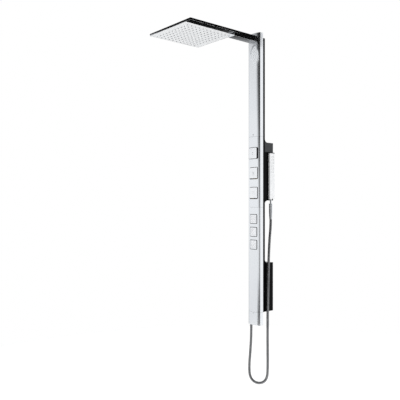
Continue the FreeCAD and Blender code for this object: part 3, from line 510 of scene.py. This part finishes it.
# %% Build the finishes
def make_finish(name, colour, smudged, metal, clean, handled, grain, depth, scale):
    material = bpy.data.materials.new(name)
    material.use_nodes = True
    tree = material.node_tree
    shader = tree.nodes["Principled BSDF"]
    place = add(tree, "ShaderNodeTexCoord").outputs["Object"]
    smudge = add(tree, "ShaderNodeGroup", node_tree=SMUDGE)
    for key, value in {"Place": place, "Scale": scale, "Low": clean, "High": handled}.items():
        put(value, smudge.inputs[key], tree)
    lines = add(tree, "ShaderNodeGroup", node_tree=GRAIN)
    put(place, lines.inputs["Place"], tree)
    put(grain, lines.inputs["Stretch"], tree)
    tint = add(tree, "ShaderNodeMix", data_type="RGBA")
    put(smudge.outputs["Mask"], tint.inputs["Factor"], tree)
    put((*colour, 1), tint.inputs[6], tree)
    put((*smudged, 1), tint.inputs[7], tree)
    put(tint.outputs[2], shader.inputs["Base Color"], tree)
    put(smudge.outputs["Value"], shader.inputs["Roughness"], tree)
    shader.inputs["Metallic"].default_value = metal
    bump = add(tree, "ShaderNodeBump", {"Strength": 1.0, "Distance": depth, "Height": lines.outputs["Lines"]})
    put(bump.outputs[0], shader.inputs["Normal"], tree)
    return material


finishes = {name: make_finish(name, *row) for name, row in FINISHES.items()}
for name, shine in SHINE.items():
    finishes[name].node_tree.nodes["Principled BSDF"].inputs["Specular IOR Level"].default_value = shine
slot_of = {part["node"]: part["material_slot"] for part in frame["record"]["subparts"]}
for node, slot in slot_of.items():
    solid = nodes[node]
    solid.data.materials.clear()
    solid.data.materials.append(finishes[slot])
print(len(finishes), "finishes on", len(slot_of), "solids")

# %% [markdown]
# ## Soft edges on the solids that show
# Nothing real has a perfectly sharp edge: a stamped, machined or moulded edge is rounded by a few tenths of a
# millimetre, and that narrow round is where the light catches. A solid from the frame is a bag of loose triangles,
# so a copy is welded, its flat faces are joined up, and a narrow bevel goes round every crease. The copy then
# stands in for the solid.

# %% Soft-edged copies
WELD = 0.00001              # corners nearer than this, in metres, are one corner
NO_LENGTH = 0.000001        # edges shorter than this go
FLAT = math.radians(0.4)    # faces that differ by less than this lie in one plane
CREASE = math.radians(30)   # edges sharper than this get a bevel
SHARP = math.radians(38)    # edges still sharper than this after it are shaded as sharp


def set_on(piece, body, slot, material=None):
    """Gives a piece its slot's finish, or a material of its own, and lets it ride on its body."""
    piece.data.materials.clear()
    piece.data.materials.append(material or finishes[slot])
    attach(piece, body)
    return piece


def welded(node):
    """A closed copy of a solid's triangles, with its flat faces joined up."""
    source = nodes[node].data
    bm = bmesh.new()
    corners = [bm.verts.new(v.co) for v in source.vertices]
    for face in source.polygons:
        try:
            bm.faces.new([corners[i] for i in face.vertices])
        except ValueError:    # a face that repeats a corner or another face has nothing to add
            pass
    bmesh.ops.remove_doubles(bm, verts=bm.verts, dist=WELD)
    bmesh.ops.dissolve_degenerate(bm, edges=bm.edges, dist=NO_LENGTH)
    bmesh.ops.dissolve_limit(bm, angle_limit=FLAT, verts=bm.verts, edges=bm.edges)
    return bm


def applied(piece, name):
    """A plain object with a piece's modifiers worked into its mesh."""
    mesh = evaluated_mesh(piece)
    mesh.name = name
    bpy.data.objects.remove(piece)
    return add_object(name, mesh)


def soft_copy(node, name, width):
    piece = shape_object(name, welded(node))
    bevel = piece.modifiers.new("edges", "BEVEL")
    bevel.limit_method = "ANGLE"
    bevel.angle_limit = CREASE
    bevel.width = width
    bevel.segments = 2
    bevel.use_clamp_overlap = True
    bevel.miter_outer = "MITER_ARC"
    piece = applied(piece, name)
    piece.data.shade_smooth()
    piece.data.set_sharp_from_angle(angle=SHARP)
    piece.modifiers.new("flat faces lead", "WEIGHTED_NORMAL").keep_sharp = True
    piece = set_on(applied(piece, name), nodes[node]["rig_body"], slot_of[node])
    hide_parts(node)
    return piece


SOFT_EDGES = {
    # solid: (piece, bevel in metres)
    "upper_shell": ("cover_top_length", 0.00025), "control_shell": ("cover_control_length", 0.00025),
    "jet_shell": ("cover_jet_length", 0.00025), "bottom_shell": ("cover_foot_length", 0.00025),
    "top_cap": ("cap_at_top", 0.0003), "bottom_cap": ("cap_at_foot", 0.0003), "spine": ("back_rail", 0.0004),
    "upper_bracket": ("bracket_upper_box", 0.0005), "bracket_block": ("bracket_grey_block", 0.0007),
    "lower_bracket": ("bracket_lower_box", 0.0005), "arm": ("arm_tube", 0.0009), "head_body": ("head_tray", 0.0006),
    "spray_plate": ("head_spray_plate", 0.0003), "knob_carrier": ("temperature_carrier", 0.0002),
    "handset_connector": ("handset_elbow_block", 0.0004), "handset_body": ("handset_bar", 0.0004),
    "handset_cap": ("handset_end_cap", 0.0003), "handset_face": ("handset_spray_strip", 0.0003),
    "handset_hook": ("hook_plate", 0.0003), "hose_nut": ("hose_cone_nut", 0.0003),
    "hot_inlet": ("hot_supply_socket", 0.0003), "cold_inlet": ("cold_supply_socket", 0.0003),
    "upper_wall_plate": ("wall_plate_upper", 0.0003), "lower_wall_plate": ("wall_plate_lower", 0.0003),
    "cover_screws": ("cover_screw_pair", 0.0001), "lock_screws": ("lock_screw_pair", 0.00015),
}
for solid, (piece_name, bevel_width) in SOFT_EDGES.items():
    print(piece_name, len(soft_copy(solid, piece_name, bevel_width).data.polygons), "faces")

# %% [markdown]
# ## The ribbed hose takes its finish
# The line from above now grows its ribs.

# %% Hose
RIB_PITCH = 0.0028
RIB_DEPTH = 0.0007
hose = grown(hose_line, RIBBED_HOSE, "metal_hose", Pitch=RIB_PITCH, Radius=HOSE_RADIUS,
             Finish=finishes["hose_metal"], **{"Rib depth": RIB_DEPTH, "Sides": 28})
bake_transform(hose)
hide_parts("hose")
print("hose mesh", len(hose.data.polygons), "faces")

# %% [markdown]
# ## Nozzles
# The rain head, the jets and the handset all end in rows of small soft rubber nipples that can be rubbed clean. One
# nipple is turned on a lathe in code, with a collar, a taper and a blind hole. One tree then lays it out on a grid
# of any size, which keeps a hundred and more nipples a matter of two numbers.


# %% Nipple and grid tree
def circle_points(radius, sides):
    return [(radius * math.cos(2 * math.pi * i / sides), radius * math.sin(2 * math.pi * i / sides))
            for i in range(sides)]


def lathe(name, profile, sides):
    """Turns a closed (radius, height) line about Z. Points on the axis close the shape."""
    bm = bmesh.new()
    rings = []
    for radius, height in profile:
        places = circle_points(radius, sides) if radius else [(0, 0)]
        rings.append([bm.verts.new((*place, height)) for place in places])
    for low, high in zip(rings, rings[1:]):
        for i in range(sides):
            j = (i + 1) % sides
            if len(low) == 1:
                bm.faces.new((low[0], high[j], high[i]))
            elif len(high) == 1:
                bm.faces.new((low[i], low[j], high[0]))
            else:
                bm.faces.new((low[i], low[j], high[j], high[i]))
    bmesh.ops.recalc_face_normals(bm, faces=bm.faces)
    turned = shape_object(name, bm)
    turned.data.shade_smooth()
    turned.data.set_sharp_from_angle(angle=math.radians(50))
    return turned


def grid_tree():
    tree, given, out = group_tree("rows of nipples", "GeometryNodeTree", {
        "Geometry": ("NodeSocketGeometry", None), "Columns": ("NodeSocketInt", 11), "Rows": ("NodeSocketInt", 11),
        "Pitch": ("NodeSocketFloat", 0.02), "Finish": ("NodeSocketMaterial", None)},
        {"Geometry": "NodeSocketGeometry"})

    def span(count):
        return maths(tree, "MULTIPLY", maths(tree, "SUBTRACT", count, 1.0), given["Pitch"])

    grid = add(tree, "GeometryNodeMeshGrid", {"Size X": span(given["Columns"]), "Size Y": span(given["Rows"]),
                                              "Vertices X": given["Columns"], "Vertices Y": given["Rows"]})
    placed = add(tree, "GeometryNodeInstanceOnPoints", {"Points": grid.outputs[0], "Instance": given["Geometry"]})
    real = add(tree, "GeometryNodeRealizeInstances", placed.outputs[0])
    painted = add(tree, "GeometryNodeSetMaterial", {"Geometry": real.outputs[0], "Material": given["Finish"]})
    put(painted.outputs[0], out["Geometry"], tree)
    return tree


GRID = grid_tree()
NIPPLE_SIDES = 12


def nipple_field(name, nipple, grid, turn, middle, finish="nozzle_rubber"):
    """A grid of nipples that stand along +Z, turned and moved to their surface.

    A nipple is (radius at its root, at its tip, of its hole, length), a grid (columns, rows, pitch), in metres.
    """
    root, tip, hole, length = nipple
    columns, rows, pitch = grid
    collar = [(0, 0), (root, 0), (root, length * 0.22), (root * 0.82, length * 0.34)]
    taper = [(tip, length * 0.9), (tip * 0.86, length)]
    blind_hole = [(hole, length), (hole, length * 0.45), (0, length * 0.45)]
    one = lathe(name + "_one", collar + taper + blind_hole, NIPPLE_SIDES)
    field = grown(one, GRID, name, Columns=columns, Rows=rows, Pitch=pitch, Finish=finishes[finish])
    field.data.transform(Matrix.Translation(middle) @ turn)
    return field


print("grid tree with", len(GRID.nodes), "nodes")

# %% [markdown]
# The head's nipples hang from the white plate, the jets' stand on their inserts, and the handset's point out to the
# side. Each field takes the place of the plain cones or pins in the frame, on the same centres.

# %% Fields of nipples
FACE_DOWN = Matrix.Rotation(math.pi, 4, "X")
FACE_FRONT = Matrix.Rotation(math.pi / 2, 4, "X")
FACE_RIGHT = Matrix.Rotation(math.pi / 2, 4, "Y")
HEAD_NIPPLE, HEAD_GRID = (0.0030, 0.0021, 0.0009, 0.0016), (11, 11, 0.0234)
HANDSET_NIPPLE, HANDSET_GRID = (0.0013, 0.0009, 0.00045, 0.0009), (12, 3, 0.0074)

middle, low, high = middle_of("spray_nozzles")
head_nipples = nipple_field("head_nipples", HEAD_NIPPLE, HEAD_GRID, FACE_DOWN, (middle.x, middle.y, high.z))
set_on(head_nipples, "panel", "nozzle_rubber")
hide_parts("spray_nozzles")
middle, low, high = middle_of("handset_nozzles")
handset_nipples = nipple_field("handset_nipples", HANDSET_NIPPLE, HANDSET_GRID, FACE_RIGHT,
                               (low.x, middle.y, middle.z))
set_on(handset_nipples, "handset", "nozzle_rubber")
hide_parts("handset_nozzles")
print("head nipples", len(head_nipples.data.polygons), "faces; handset", len(handset_nipples.data.polygons))

# %% [markdown]
# ## Body jets
# A body jet is a square metal face on a ball, with a rubber insert that carries sixteen nipples. The face keeps its
# solid's shape with a soft edge. The insert is rebuilt as a plate with a slightly raised field inside a narrow
# margin, and the nipples on it.

# %% Jets
JET_NIPPLE, JET_GRID = (0.0017, 0.0012, 0.0006, 0.0009), (4, 4, 0.008)
PLATE_FRONT = 0.0009        # how far the plate lies behind the nipples' tips, in metres
FIELD_FRONT = 0.0007        # the same for the raised field
FIELD_BACK = 0.0012
MARGIN = 0.002              # from the plate's edge to the raised field


def box_into(bm, low, high):
    made = bmesh.ops.create_cube(bm, size=1.0)
    centre = [(a + b) / 2 for a, b in zip(low, high)]
    size = [b - a for a, b in zip(low, high)]
    for vertex in made["verts"]:
        vertex.co = Vector([c + v * s for c, v, s in zip(centre, vertex.co, size)])


def joined(name, parts, body, slot):
    """Joins finished objects into one piece."""
    bm = bmesh.new()
    for part in parts:
        bm.from_mesh(part.data)
        bpy.data.objects.remove(part)
    return set_on(shape_object(name, bm), body, slot)


JET_BODIES = {"1": "upper_jet", "2": "middle_jet", "3": "lower_jet"}
for number, body in JET_BODIES.items():
    soft_copy("jet_face_" + number, body + "_face", 0.0002)
    middle, low, high = middle_of("jet_nozzles_" + number)
    bm = bmesh.new()
    box_into(bm, (low.x, low.y + PLATE_FRONT, low.z), (high.x, high.y, high.z))
    box_into(bm, (low.x + MARGIN, low.y + FIELD_FRONT, low.z + MARGIN),
             (high.x - MARGIN, low.y + FIELD_BACK, high.z - MARGIN))
    plate = shape_object("insert_" + number, bm)
    nipples = nipple_field("jet_nipples_" + number, JET_NIPPLE, JET_GRID, FACE_FRONT,
                           (middle.x, low.y + PLATE_FRONT, middle.z), "pale_rubber")
    insert = joined(body + "_insert", [plate, nipples], body, "pale_rubber")
    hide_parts("jet_nozzles_" + number)
    print(insert.name, len(insert.data.polygons), "faces")

# %% [markdown]
# ## Controls
# The top control turns and sets the temperature; the two below are pushed to send water to the head, the jets or
# the handset. They are brushed square caps with plain printed marks: a dot with an arrow and two strokes, two
# crossing lines over a third, and two columns of dashes. The marks are thin inlays in dark lacquer, a twentieth of
# a millimetre proud.

# %% Control caps
CONTROL_EDGE = 0.00025
for solid, piece_name in (("thermostat_knob", "temperature_cap"), ("first_button", "upper_push_cap"),
                          ("second_button", "lower_push_cap")):
    print(piece_name, len(soft_copy(solid, piece_name, CONTROL_EDGE).data.polygons), "faces")

# %% Marks
MARK_PROUD = 0.00005
MARK_DEPTH = 0.0002
LACQUER = ((0.10, 0.105, 0.11), (0.14, 0.145, 0.15), 0.0, 0.35, 0.5, EVEN, 0.000003, 40.0)    # a row as in FINISHES
lacquer = make_finish("dark lacquer", *LACQUER)


def marks(name, node, body, shapes):
    """Thin polygons, given in millimetres about the control's middle, laid on its front face."""
    middle, low, high = middle_of(node)
    bm = bmesh.new()
    for outline in shapes:
        front = [bm.verts.new((middle.x + x / 1000, low.y - MARK_PROUD, middle.z + z / 1000)) for x, z in outline]
        back = [bm.verts.new((v.co.x, low.y + MARK_DEPTH, v.co.z)) for v in front]
        bm.faces.new(front)
        bm.faces.new(back[::-1])
        for i in range(len(front)):
            j = (i + 1) % len(front)
            bm.faces.new((front[j], front[i], back[i], back[j]))
    bmesh.ops.recalc_face_normals(bm, faces=bm.faces)
    print(name, len(shapes), "shapes")
    return set_on(shape_object(name, bm), body, "control_face", lacquer)


def disc(x, z, radius):
    return [(x + across, z + up) for across, up in circle_points(radius, 24)]


def bar(x0, z0, x1, z1, width):
    length = math.hypot(x1 - x0, z1 - z0)
    nx, nz = -(z1 - z0) / length * width / 2, (x1 - x0) / length * width / 2
    return [(x0 + nx, z0 + nz), (x0 - nx, z0 - nz), (x1 - nx, z1 - nz), (x1 + nx, z1 + nz)]


marks("temperature_marks", "thermostat_knob", "thermostat_control",
      [disc(0, 3, 2.2), [(-2.6, -6), (2.6, -6), (0, -10)], bar(-14, 18, -9, 18, 0.9), bar(9, 18, 14, 18, 0.9)])
marks("crossing_marks", "first_button", "first_push_button",
      [bar(-6, -6, 6, 6, 1.0), bar(-6, 6, -0.8, 0.8, 1.0), bar(0.8, -0.8, 6, -6, 1.0), bar(-8, -10, 8, -10, 0.9)])
marks("dash_marks", "second_button", "second_push_button",
      [bar(x - 2, z, x + 2, z, 1.1) for x in (-5, 5) for z in (-6, 0, 6)])

# %% [markdown]
# Behind each push button a coil spring rests on the column and carries the button. A copy of the coil takes its
# place.

# %% Return springs
for node, name, body in (("first_button_spring", "upper_push_spring", "first_push_button"),
                         ("second_button_spring", "lower_push_spring", "second_push_button")):
    middle, low, high = middle_of(node)
    spring = add_object(name, nodes[node].data.copy())
    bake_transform(spring)
    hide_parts(node)
    print(name, round((high.y - low.y) * 1000, 1), "mm long")

# %% [markdown]
# ## Screw threads in the supply sockets
# Seen from the wall side, each brass socket shows the thread that takes the supply pipe. It is a spiral ridge just
# inside the bore, swept round in code.

# %% Threads
THREAD_TURNS = 8
THREAD_PITCH = 0.0018
THREAD_SIDES = 40
THREAD_START = -0.0152      # Y of the innermost turn
BORE_RADIUS = 0.0093
RIDGE = [(0.0002, -0.0007), (-0.0007, -0.0001), (-0.0007, 0.0001), (0.0002, 0.0007)]    # from the bore, along Y


def thread(name, height):
    bm = bmesh.new()
    previous = None
    for i in range(THREAD_TURNS * THREAD_SIDES + 1):
        angle = 2 * math.pi * i / THREAD_SIDES
        y = THREAD_START + THREAD_PITCH * i / THREAD_SIDES
        ring = [bm.verts.new(((BORE_RADIUS + out) * math.cos(angle), y + along,
                              height + (BORE_RADIUS + out) * math.sin(angle))) for out, along in RIDGE]
        if previous:
            for a in range(4):
                b = (a + 1) % 4
                bm.faces.new((previous[a], previous[b], ring[b], ring[a]))
        else:
            bm.faces.new(ring[::-1])
        previous = ring
    bm.faces.new(previous)
    bmesh.ops.recalc_face_normals(bm, faces=bm.faces)
    return set_on(shape_object(name, bm), "panel", "brass")


for name, socket in (("hot_supply_thread", "hot_inlet"), ("cold_supply_thread", "cold_inlet")):
    print(name, len(thread(name, middle_of(socket)[0].z).data.polygons), "faces")
